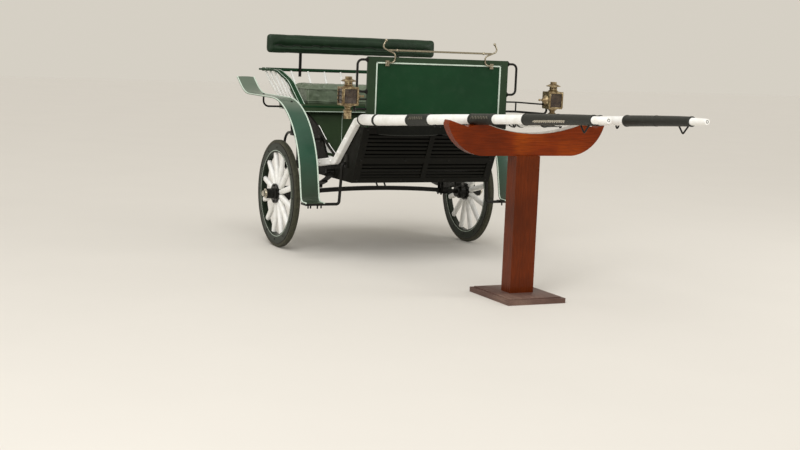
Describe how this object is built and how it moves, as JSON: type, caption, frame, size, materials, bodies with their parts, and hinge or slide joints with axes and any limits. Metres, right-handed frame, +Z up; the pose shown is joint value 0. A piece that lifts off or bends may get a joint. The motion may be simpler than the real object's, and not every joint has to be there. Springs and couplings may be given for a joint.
{
  "type": "two-wheeled horse-drawn carriage on a shaft stand",
  "caption": "Light two-wheeled carriage for one horse: seat with spindle sides and padded back, dash with rein rail and lamps, winged fenders, curved shafts resting on a wooden stand",
  "frame": {"origin": "on the floor, below the middle of the whole outline", "axes": "+X forward along the shafts, +Y to the carriage's left, +Z up"},
  "size_m": [3.9642, 1.672, 1.425],
  "materials": {
    "shaft_white": "brush-painted ash, gloss white, scuffed",
    "leather_wrap": "stitched strap leather, blackened and worn",
    "wheel_white": "painted ash, gloss white",
    "coach_green": "varnished coach paint, dark green",
    "fender_green": "enamelled sheet steel, dark green with pale lining",
    "black_iron": "forged iron, black paint",
    "tyre_rubber": "solid rubber, dusty",
    "hub_black": "black enamel",
    "hub_nickel": "nickel-plated cap",
    "seat_leather": "wrinkled cowhide, dark green",
    "slat_black": "slatted timber, black paint",
    "lamp_brass": "polished brass, tarnished",
    "lamp_pane": "bevelled clear glass",
    "stand_wood": "varnished mahogany",
    "base_wood": "scuffed varnished plank",
    "spindle_white": "turned wood, white paint"
  },
  "bodies": {
    "root": {"stand_base": "base_wood", "stand_post": "stand_wood", "stand_cradle": "stand_wood", "axle": "black_iron", "body_frame": "slat_black", "floor_boards": "slat_black", "toe_frame": "slat_black", "toe_slats": "slat_black", "dash_frame": "coach_green", "dash_panel": "coach_green", "rein_rail": "lamp_brass", "seat_panel": "coach_green", "seat_board": "coach_green", "seat_cushion": "seat_leather", "seat_rail": "coach_green", "back_spindles": "spindle_white", "lazyback_pad": "seat_leather", "lazyback_stays": "black_iron", "rear_panel": "coach_green", "splinter_bar": "black_iron", "side_slats": "shaft_white", "shaft_staples": "black_iron", "spring_right": "black_iron", "spring_hangers_right": "black_iron", "body_side_right": "slat_black", "dash_handle_right": "black_iron", "lamp_body_right": "lamp_brass", "lamp_glass_right": "lamp_pane", "lamp_arm_right": "black_iron", "side_spindles_right": "spindle_white", "fender_right": "fender_green", "fender_stays_right": "black_iron", "step_iron_right": "black_iron", "shaft_right": "shaft_white", "shaft_wraps_right": "leather_wrap", "shaft_sleeve_right": "leather_wrap", "spring_left": "black_iron", "spring_hangers_left": "black_iron", "body_side_left": "slat_black", "dash_handle_left": "black_iron", "lamp_body_left": "lamp_brass", "lamp_glass_left": "lamp_pane", "lamp_arm_left": "black_iron", "side_spindles_left": "spindle_white", "fender_left": "fender_green", "fender_stays_left": "black_iron", "step_iron_left": "black_iron", "shaft_left": "shaft_white", "shaft_wraps_left": "leather_wrap", "shaft_sleeve_left": "leather_wrap"},
    "wheel_right": {"tyre_right": "tyre_rubber", "felloe_right": "coach_green", "spokes_right": "wheel_white", "nave_right": "hub_black", "hub_cap_right": "hub_nickel"},
    "wheel_left": {"tyre_left": "tyre_rubber", "felloe_left": "coach_green", "spokes_left": "wheel_white", "nave_left": "hub_black", "hub_cap_left": "hub_nickel"}
  },
  "joints": [
    {"name": "wheel_right_spin", "type": "hinge", "parent": "root", "child": "wheel_right", "pos_m": [-1.2508, -0.72, 0.36], "axis": [0, 1, 0], "continuous": true},
    {"name": "wheel_left_spin", "type": "hinge", "parent": "root", "child": "wheel_left", "pos_m": [-1.2508, 0.72, 0.36], "axis": [0, 1, 0], "continuous": true}
  ]
}
